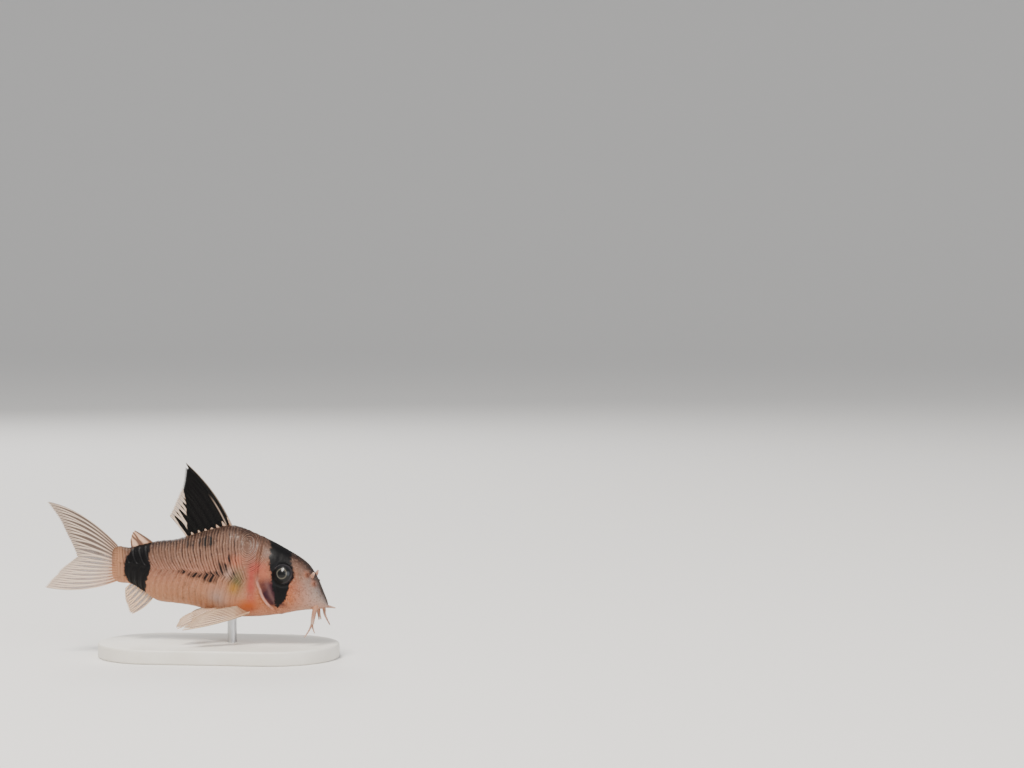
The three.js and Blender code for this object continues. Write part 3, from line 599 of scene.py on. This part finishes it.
def buildBody(material):
    shape = bodyShape
    scuteRows = scutes["count"] * shape["rowsPerScute"]
    scuteEnd = scutes["first"] + scutes["count"] * scutes["pitch"]
    rows = shape["headRows"] + scuteRows + shape["endRows"] + shape["capRows"]
    bm = bmesh.new()
    bmesh.ops.create_uvsphere(bm, u_segments=shape["around"], v_segments=rows, radius=1.0)
    floats = bm.verts.layers.float
    for name in ("row", "share", "ink", "smudge", "phase", "scuted", "arcs", "plated"):
        floats.new(name)
    rowOf, shareOf, inkOf, smudgeOf, phaseOf, scutedOf, arcsOf, platedOf = floats.values()
    for third in range(len(tints) // 3):
        bm.verts.layers.float_color.new("tints%d" % third)
    tintLayers = bm.verts.layers.float_color.values()

    # The sphere's rings become girths: crowded at the snout, even along the scutes, then a rounded end
    spots = {}
    for vert in bm.verts:
        index = round(math.atan2(math.hypot(vert.co.x, vert.co.y), vert.co.z) / math.pi * rows)
        angle = math.atan2(vert.co.y, vert.co.x)
        pastHead = index - shape["headRows"]
        pastScutes = pastHead - scuteRows
        if pastHead <= 0:
            row = scutes["first"] * (index / shape["headRows"]) ** 1.35
        elif pastScutes <= 0:
            row = scutes["first"] + pastHead / shape["rowsPerScute"] * scutes["pitch"]
        else:
            row = between(scuteEnd, shape["length"], min(pastScutes / shape["endRows"], 1.0))
        pointed = smoothStep(row, scutes["chevronFrom"], scutes["first"])
        pointed *= 1 - smoothStep(row, *scutes["chevronFade"])
        at = row - chevronShift(angle) * pointed
        point, share = skinPoint(at, angle)
        cap = max(pastScutes - shape["endRows"], 0) / shape["capRows"]
        if cap:
            middle = Vector((point.x, 0, shape["capHeight"]))
            point = middle.lerp(point, math.sqrt(max(1 - cap * cap, 0.0)))
            point.x -= shape["capLength"] * cap
        vert[rowOf], vert[shareOf] = row / shape["length"], share
        vert.co = point
        spots[vert] = (at, angle, row)
    bmesh.ops.recalc_face_normals(bm, faces=bm.faces)
    bm.normal_update()

    # Relief and markings, read from each point of the plain skin before any of it is raised
    lifts = {}
    for vert, (at, angle, row) in spots.items():
        lift, phase, scuted = scuteRelief(row, angle)
        lift += tailRelief(at, angle, vert.co.z)
        if at < 17:
            lift += headRelief(at, angle, vert.co)
        flank = between(0.3, 1.0, smoothStep(math.cos(angle), -0.25, 0.3))
        vert[phaseOf] = phase
        vert[scutedOf] = scuted * flank * between(1, 0.6, smoothStep(row, 24, 31))
        vert[arcsOf] = toNape(vert.co) / nape["spacing"]
        vert[platedOf] = plateWeight(vert.co, row)
        vert[inkOf] = inkAt(vert.co)
        vert[smudgeOf] = smudgeAt(vert.co)
        weights = tintWeights(vert.co, at, angle)
        for third, layer in enumerate(tintLayers):
            vert[layer] = weights[3 * third:3 * third + 3] + [1.0]
        lifts[vert] = vert.normal * lift
    for vert, move in lifts.items():
        vert.co = placed(vert.co + move)
    uv = bm.loops.layers.uv.new("skin")
    for face in bm.faces:
        for loop in face.loops:
            loop[uv].uv = (loop.vert[rowOf], loop.vert[shareOf])
    finishPiece("fish_skin", bm, material, ["head", "trunk", "tail"])


# Soft round stems, rounded at both ends: barbels and nostril flaps
def addStem(bm, path, radii, flat=1.0, fleshy=0.0, sides=14, rows=30, ending=0.08):
    known = set(bm.verts)
    bmesh.ops.create_uvsphere(bm, u_segments=sides, v_segments=rows, radius=1.0)
    along = bm.verts.layers.float.get("along") or bm.verts.layers.float.new("along")
    stops = [(i / (len(path) - 1), *point) for i, point in enumerate(path)]
    for vert in [v for v in bm.verts if v not in known]:
        t = math.atan2(math.hypot(vert.co.x, vert.co.y), vert.co.z) / math.pi
        turn = math.atan2(vert.co.y, vert.co.x)
        places = (t, max(t - 0.02, 0), min(t + 0.02, 1))
        centre, before, after = [Vector(spline(stops, place)) for place in places]
        ahead = (after - before).normalized()
        across = ahead.cross(Vector((0.2, 1, 0.1))).normalized()
        fromEnd = min(t, 1 - t, ending) / ending
        radius = between(radii[0], radii[1], t ** 0.8) + fleshy * smoothStep(0.3 - t, 0.0, 0.3)
        radius *= math.sqrt(max(1 - (1 - fromEnd) ** 2, 0.0)) * (1 + 0.05 * math.sin(t * rows * 1.9))
        ring = across * (radius * math.cos(turn)) + ahead.cross(across) * (radius * flat * math.sin(turn))
        vert.co = placed(centre + ring)
        vert[along] = t


feelers = {
    "barbels_right": [
        {"path": [(22.1, -1.2, 7.6), (21.95, -2.2, 5.95), (21.75, -2.6, 4.6), (21.65, -2.7, 3.7)],
         "radii": (0.5, 0.3), "fleshy": 0.35},
        {"path": [(21.74, -2.62, 4.6), (21.6, -2.7, 3.9), (21.15, -2.9, 2.8), (20.3, -3.2, 1.5)],
         "radii": (0.3, 0.09)},
        {"path": [(21.74, -2.62, 4.6), (21.66, -2.68, 3.9), (21.75, -2.6, 3.1), (22.05, -2.5, 2.2)],
         "radii": (0.3, 0.09)},
    ],
    "barbels_left": [
        {"path": [(22.2, 1.1, 7.4), (22.8, 2.0, 6.0), (22.95, 2.3, 4.8), (23.8, 2.7, 2.9)],
         "radii": (0.5, 0.1), "fleshy": 0.3},
        {"path": [(22.5, 1.6, 6.6), (23.3, 2.1, 6.35), (24.0, 2.4, 6.2), (24.8, 2.7, 6.0)],
         "radii": (0.42, 0.1)},
    ],
    "barbel_chin_right": [
        {"path": [(22.2, -0.55, 6.3), (22.35, -0.6, 5.1), (22.5, -0.75, 4.3)], "radii": (0.26, 0.1)},
    ],
    "barbel_chin_left": [
        {"path": [(22.2, 0.55, 6.3), (22.35, 0.6, 5.1), (22.55, 0.75, 4.2)], "radii": (0.26, 0.1)},
    ],
}
nostrilFlap = {"path": [(20.9, 1.5, 11.5), (21.4, 1.75, 11.85), (21.7, 1.85, 12.3), (21.85, 1.85, 12.65)],
               "radii": (0.6, 0.12), "flat": 0.3, "rows": 20}


def buildEye(name, side, material):
    bm = bmesh.new()
    bmesh.ops.create_uvsphere(bm, u_segments=64, v_segments=40, radius=1.0)
    reach = bm.verts.layers.float.new("reach")
    centre = Vector((eyeCentre.x, side * (eyeCentre.y - eyes["sunk"]), eyeCentre.z))
    tilt = Matrix.Rotation(side * eyes["tilt"], 3, "X")
    for vert in bm.verts:
        x, y, z = vert.co.x, vert.co.z * side, vert.co.y  # the sphere's pole is the middle of the pupil
        fromPupil, outside = math.hypot(x, z), y * side > 0
        vert[reach] = eyes["radius"] * fromPupil if outside else iris["reach"]
        bulge = 1.0 + eyes["cornea"] * swell(fromPupil, eyes["corneaWidth"]) if outside else 1.0
        local = Vector((x * eyes["radius"], y * eyes["depth"] * bulge, z * eyes["radius"]))
        vert.co = placed(centre + tilt @ local)
    finishPiece(name, bm, material, [name.replace("eyeball", "eye")])


# Fins: a thin web with a ridge along each ray, which forks twice on its way to the margin. How far apart the
# branches go and how wide they are, as shares of the step from ray to ray, and how far out each fork spreads
forking = {
    "first": 0.25, "firstSpreads": (0.3, 0.95), "second": 0.115, "secondSpreads": (0.62, 1.0),
    "unforked": 0.26, "stem": 0.3, "branch": 0.16, "twig": 0.085,
    "branches": (0.3, 0.6), "twigs": (0.65, 0.9),  # how far out the branches and the twigs thin down
}


def rayHeight(away, out, forks):
    first = forking["first"] * smoothStep(out, *forking["firstSpreads"]) if forks else 0.0
    second = forking["second"] * smoothStep(out, *forking["secondSpreads"]) if forks > 1 else 0.0
    width = forking["unforked"]
    if forks:
        width = between(forking["stem"], forking["branch"], smoothStep(out, *forking["branches"]))
    if forks > 1:
        width = between(width, forking["twig"], smoothStep(out, *forking["twigs"]))
    return swell(abs(abs(away) - first) - second, width)


def buildFin(name, fin, material, replaced, side):
    rays = fin["rays"]
    across = onSide(fin["normal"], side).normalized()
    rayLengths = [1 - fin.get("ragged", 0.03) * random.Random(i + 3).random() for i in range(rays)]
    bm = bmesh.new()
    floats = bm.verts.layers.float
    for layerName in ("ray", "share", "out", "ink", "stripe"):
        floats.new(layerName)
    rayOf, shareOf, outOf, inkOf, stripeOf = floats.values()
    for face in (1, -1):
        known = set(bm.verts)
        bmesh.ops.create_grid(bm, x_segments=(rays - 1) * gridsPerRay, y_segments=fin["rows"], size=1.0)
        for vert in [v for v in bm.verts if v not in known]:
            share, out = (vert.co.x + 1) / 2, (vert.co.y + 1) / 2
            where = share * (rays - 1)
            nearest = min(round(where), rays - 1)
            spiny = nearest == 0 and "spine" in fin
            ridge = rayHeight(where - nearest, out, 0 if spiny else fin.get("forks", 2))
            low = math.floor(min(where, rays - 1.001))
            length = between(rayLengths[low], rayLengths[low + 1], where - low)
            reach = out * length * (1 - fin["notch"] * (1 - ridge))
            middle = Vector(fin["root"](share)).lerp(Vector(fin["tip"](share)), reach)
            middle += Vector(fin["bow"](share)) * (4 * reach * (1 - reach))
            middle.y += fin.get("ripple", 0.0) * math.sin(share * 9 + out * 2.5) * out
            thick = fin["web"] * between(1.0, 0.6, out) + fin["ridge"] * ridge * between(1.0, 0.2, out)
            if spiny:
                thick += fin["spine"] * ridge * between(1.0, 0.25, out)
            vert.co = placed(onSide(middle, side) + across * (face * thick / 2))
            vert[rayOf], vert[shareOf], vert[outOf] = ridge, share, out
            vert[inkOf] = fin["ink"](share, out, ridge, middle) if "ink" in fin else 0.0
            vert[stripeOf] = fin["stripe"](share, out) if "stripe" in fin else 0.0
    bmesh.ops.bridge_loops(bm, edges=[e for e in bm.edges if e.is_boundary])
    uv = bm.loops.layers.uv.new("fin")
    for face in bm.faces:
        for loop in face.loops:
            loop[uv].uv = (loop.vert[shareOf], loop.vert[outOf])
    finishPiece(name, bm, material, replaced)


def line(first, last):  # from the first ray's value to the last one's
    return lambda share: Vector(first).lerp(Vector(last), share)


def arc(start, over, end):
    return lambda t: Vector(start) * (1 - t) ** 2 + Vector(over) * 2 * t * (1 - t) + Vector(end) * t * t


def lobes(upper, lower):  # two arcs that meet at the fork of the tail
    return lambda share: arc(*upper)(share * 2) if share < 0.5 else arc(*lower)(share * 2 - 1)


def dorsalInk(share, out, ridge, point):  # black down to pale teeth of skin, with clear rays behind it
    edge = spline([(18.0, -0.9), (22.0, -1.1), (25.0, -1.3), (28.0, -2.2), (31.5, -3.5)], point.z)[0]
    front = smoothStep(point.x, edge - 0.5, edge + 0.5)
    flame = 0.1 * ridge * (1.3 + 0.5 * math.sin(share * 40))
    teeth = smoothStep(out, 0.02 + flame, 0.08 + flame)
    streaks = smoothStep(1 - ridge, 0.3, 0.75) * (1 - smoothStep(out, 0.8, 1.0))
    return max(front, 0.85 * streaks) * teeth * between(1, 0.6, smoothStep(out, 0.93, 1.0) * share)


def dorsalStripe(share, out):  # a pale line along the spine's front edge and another just behind it
    behind = 0.8 * swell(share - 0.1, 0.012) * smoothStep(out, 0.05, 0.15) * (1 - smoothStep(out, 0.35, 0.6))
    return behind + 0.5 * swell(share, 0.008)


# Points are millimetres. The root and the tip say where each ray starts and ends, and the bow how it bends
gridsPerRay = 20
fins = {
    "dorsal_fin": {
        "rays": 8, "rows": 80, "notch": 0.05, "web": 0.12, "ridge": 0.26, "spine": 0.42, "ragged": 0.05,
        "root": line((7.3, 0, 19.3), (-0.8, 0, 17.6)),
        "tip": arc((-1.3, 0, 31.1), (-1.85, 0, 26.4), (-4.2, 0, 21.9)),
        "bow": line((0.75, 0, 0.5), (0.1, 0, 0.1)), "normal": (0, 1, 0), "ripple": 0.1,
        "ink": dorsalInk, "stripe": dorsalStripe, "finish": "blackFinSkin", "slot": "dorsal_fin",
    },
    "adipose_fin": {
        "rays": 3, "rows": 24, "notch": 0.03, "web": 0.2, "ridge": 0.12, "spine": 0.5, "forks": 1,
        "root": line((-6.6, 0, 16.8), (-10.7, 0, 15.5)),
        "tip": arc((-10.2, 0, 19.2), (-10.7, 0, 19.1), (-11.0, 0, 17.3)),
        "bow": line((0, 0, 0.12), (0, 0, 0)), "normal": (0, 1, 0), "finish": "amberFinSkin",
    },
    "tail_fin": {
        "rays": 16, "rows": 70, "notch": 0.035, "web": 0.12, "ridge": 0.24, "ragged": 0.03,
        "root": line((-13.2, 0, 16.6), (-13.2, 0, 10.4)),
        "tip": lobes([(-25.6, 0, 24.2), (-22.4, 0, 20.2), (-20.45, 0, 14.6)],
                     [(-20.45, 0, 14.6), (-24.0, 0, 12.2), (-26.0, 0, 9.3)]),
        "bow": line((0, 0, 1.35), (0, 0, -1.0)), "normal": (0, 1, 0), "ripple": 0.16, "finish": "tailFinSkin",
    },
    "anal_fin": {
        "rays": 7, "rows": 40, "notch": 0.07, "web": 0.12, "ridge": 0.22, "spine": 0.1, "ragged": 0.08,
        "root": line((-6.7, 0, 8.0), (-10.4, 0, 10.6)),
        "tip": arc((-10.9, 0, 4.6), (-12.3, 0, 5.3), (-12.0, 0, 9.1)),
        "bow": line((0.3, 0, -0.35), (0, 0, 0)), "normal": (0, 1, 0), "ripple": 0.08, "finish": "warmFinSkin",
    },
    "pelvic_fin": {
        "rays": 7, "rows": 44, "notch": 0.13, "web": 0.12, "ridge": 0.22, "spine": 0.1, "ragged": 0.12,
        "root": line((4.9, 3.0, 6.3), (3.0, 1.7, 6.2)),
        "tip": arc((-1.5, 6.0, 2.9), (-2.9, 4.5, 3.9), (-0.3, 2.6, 5.2)),
        "bow": line((0, 0.3, -0.25), (0, 0.3, 0)), "normal": (0.05, 0.72, 0.69), "ripple": 0.08,
        "finish": "warmFinSkin", "paired": True,
    },
    "pectoral_fin": {
        "rays": 9, "rows": 56, "notch": 0.13, "web": 0.12, "ridge": 0.26, "spine": 0.42, "ragged": 0.12,
        "root": line((10.9, 3.3, 5.7), (9.8, 3.5, 6.9)),
        "tip": arc((0.1, 9.2, 3.2), (0.2, 7.6, 4.9), (4.3, 5.9, 6.2)),
        "bow": line((0, 0.4, -0.35), (0, 0.1, 0)), "normal": (0.24, 0.72, 0.64), "ripple": 0.06,
        "finish": "warmFinSkin", "paired": True,
    },
}

# Stand: a plinth with round ends and a rod up to the belly
stand = {"length": 42.0, "width": 22.0, "thick": standTop, "bevel": 0.4,
         "rodRadius": 0.8, "rodX": 6.9, "rodTop": 5.1}


def rise(edge):
    return abs(edge.verts[0].co.z - edge.verts[1].co.z)


def buildPlinth(material):
    bm = bmesh.new()
    bmesh.ops.create_cube(bm, size=1.0)
    bmesh.ops.scale(bm, vec=Vector((stand["length"], stand["width"], stand["thick"])) * mm, verts=bm.verts)
    bmesh.ops.translate(bm, vec=(0, 0, stand["thick"] / 2 * mm), verts=bm.verts)
    corners = [e for e in bm.edges if rise(e) > 1e-4]
    bmesh.ops.bevel(bm, geom=corners, offset=(stand["width"] / 2 - 0.01) * mm, offset_type="OFFSET",
                    segments=28, affect="EDGES", profile=0.5, material=-1)
    rims = [e for e in bm.edges if rise(e) < 1e-6 and len(e.link_faces) == 2 and e.calc_face_angle(0) > 0.5]
    bmesh.ops.bevel(bm, geom=rims, offset=stand["bevel"] * mm, offset_type="OFFSET",
                    segments=4, affect="EDGES", profile=0.5, material=-1)
    finishPiece("plinth", bm, material, ["stand_base"], sharp=25)


def buildRod(material):
    radius, height = stand["rodRadius"] * mm, stand["rodTop"] * mm
    bm = bmesh.new()
    bmesh.ops.create_cone(bm, cap_ends=True, segments=48, radius1=radius, radius2=radius, depth=height)
    bmesh.ops.translate(bm, vec=placed((stand["rodX"], 0, 0)) + Vector((0, 0, height / 2)), verts=bm.verts)
    finishPiece("rod", bm, material, ["stand_rod"], sharp=30)


buildBody(wetFishSkin())
print("body done")

eyeMaterial = eyeSurface()
for sideName, side in sideOf.items():
    buildEye("eyeball_" + sideName, side, eyeMaterial)
barbelMaterial = barbelSkin()
for name, stems in feelers.items():
    bm = bmesh.new()
    for stem in stems:
        addStem(bm, **stem)
    finishPiece(name + "_soft", bm, barbelMaterial, [name])
bm = bmesh.new()
for side in sideOf.values():
    addStem(bm, **{**nostrilFlap, "path": [onSide(point, side) for point in nostrilFlap["path"]]})
finishPiece("nostril_flaps", bm, barbelMaterial)
print("eyes, barbels and nostrils done")

finMaterials = {name: finSkin(name, **finish) for name, finish in finFinishes.items()}
for name, fin in fins.items():
    pair = {name + "_" + sideName: side for sideName, side in sideOf.items()}
    for node, side in (pair if "paired" in fin else {name: 1}).items():
        buildFin(node + "_skin", fin, finMaterials[fin["finish"]], [node], side)
print("fins done")

buildPlinth(blastedAcrylic())
buildRod(drawnSteel())
print("stand done")

# Studio, in metres: a pale sweep that curves up far behind the fish, and three soft lights
studio = {
    "width": 8.0, "front": -1.6, "rear": 2.2, "curve": 1.6, "wall": 4.0, "steps": 24,
    "floorColour": "#E6E3DF", "skyColour": "#E9ECF0", "skyStrength": 0.7,
    # place, the point it faces, size, watts and colour
    "lights": {
        "keyLight": ((-0.12, -0.4, 0.75), (0, 0, 0.01), 0.32, 12.0, "#FFFAF2"),
        "fillLight": ((0.55, -0.6, 0.3), (0, 0, 0.01), 0.6, 3.5, "#F4F7FF"),
        "backLight": ((-0.3, 0.6, 0.45), (0, 0, 0.02), 0.4, 3.0, "#FFFFFF"),
    },
}


def buildFloor():
    bm = bmesh.new()
    bmesh.ops.create_grid(bm, x_segments=1, y_segments=studio["steps"], size=1.0)
    flat = studio["rear"] - studio["front"]
    bend = studio["curve"] * math.pi / 2
    for vert in bm.verts:
        run = (vert.co.y + 1) / 2 * (flat + bend + studio["wall"])
        turn = min(max(run - flat, 0.0) / studio["curve"], math.pi / 2)
        y = studio["front"] + min(run, flat) + studio["curve"] * math.sin(turn)
        z = studio["curve"] * (1 - math.cos(turn)) + max(run - flat - bend, 0.0)
        vert.co = (vert.co.x * studio["width"] / 2, y, z)
    for face in bm.faces:
        face.smooth = True
    mesh = bpy.data.meshes.new("floor")
    bm.to_mesh(mesh)
    bm.free()
    floor = bpy.data.objects.new("floor", mesh)
    bpy.context.scene.collection.objects.link(floor)
    material, tree, shader = newMaterial("paleFloor")
    setInputs(shader, {"Base Color": studio["floorColour"], "Roughness": 0.85})
    mesh.materials.append(material)


def addLight(name, place, target, size, power, colour):
    light = bpy.data.lights.new(name, "AREA")
    light.shape = "DISK"
    light.size = size
    light.energy = power
    light.color = paint(colour)[:3]
    lamp = bpy.data.objects.new(name, light)
    lamp.location = place
    lamp.rotation_euler = (Vector(target) - Vector(place)).to_track_quat("-Z", "Y").to_euler()
    bpy.context.scene.collection.objects.link(lamp)


buildFloor()
for name, values in studio["lights"].items():
    addLight(name, *values)
world = bpy.data.worlds.new("softSky")
world.use_nodes = True
sky = {"Color": studio["skyColour"], "Strength": studio["skyStrength"]}
setInputs(world.node_tree.nodes["Background"], sky)
bpy.context.scene.world = world

# Camera: low and long, turned a little so that the fish shows some of its face
camera = {"place": (0.09641, -0.40480, 0.06153), "down": 2.0, "turn": 6.4, "lens": 84.375}
lens = bpy.data.cameras.new("camera")
lens.sensor_width = 36.0
lens.lens = camera["lens"]
lens.clip_start = 0.01
lens.clip_end = 30.0
view = bpy.data.objects.new("camera", lens)
view.location = camera["place"]
view.rotation_euler = (math.radians(90 - camera["down"]), 0, math.radians(camera["turn"]))
bpy.context.scene.collection.objects.link(view)
bpy.context.scene.camera = view
print("studio done")
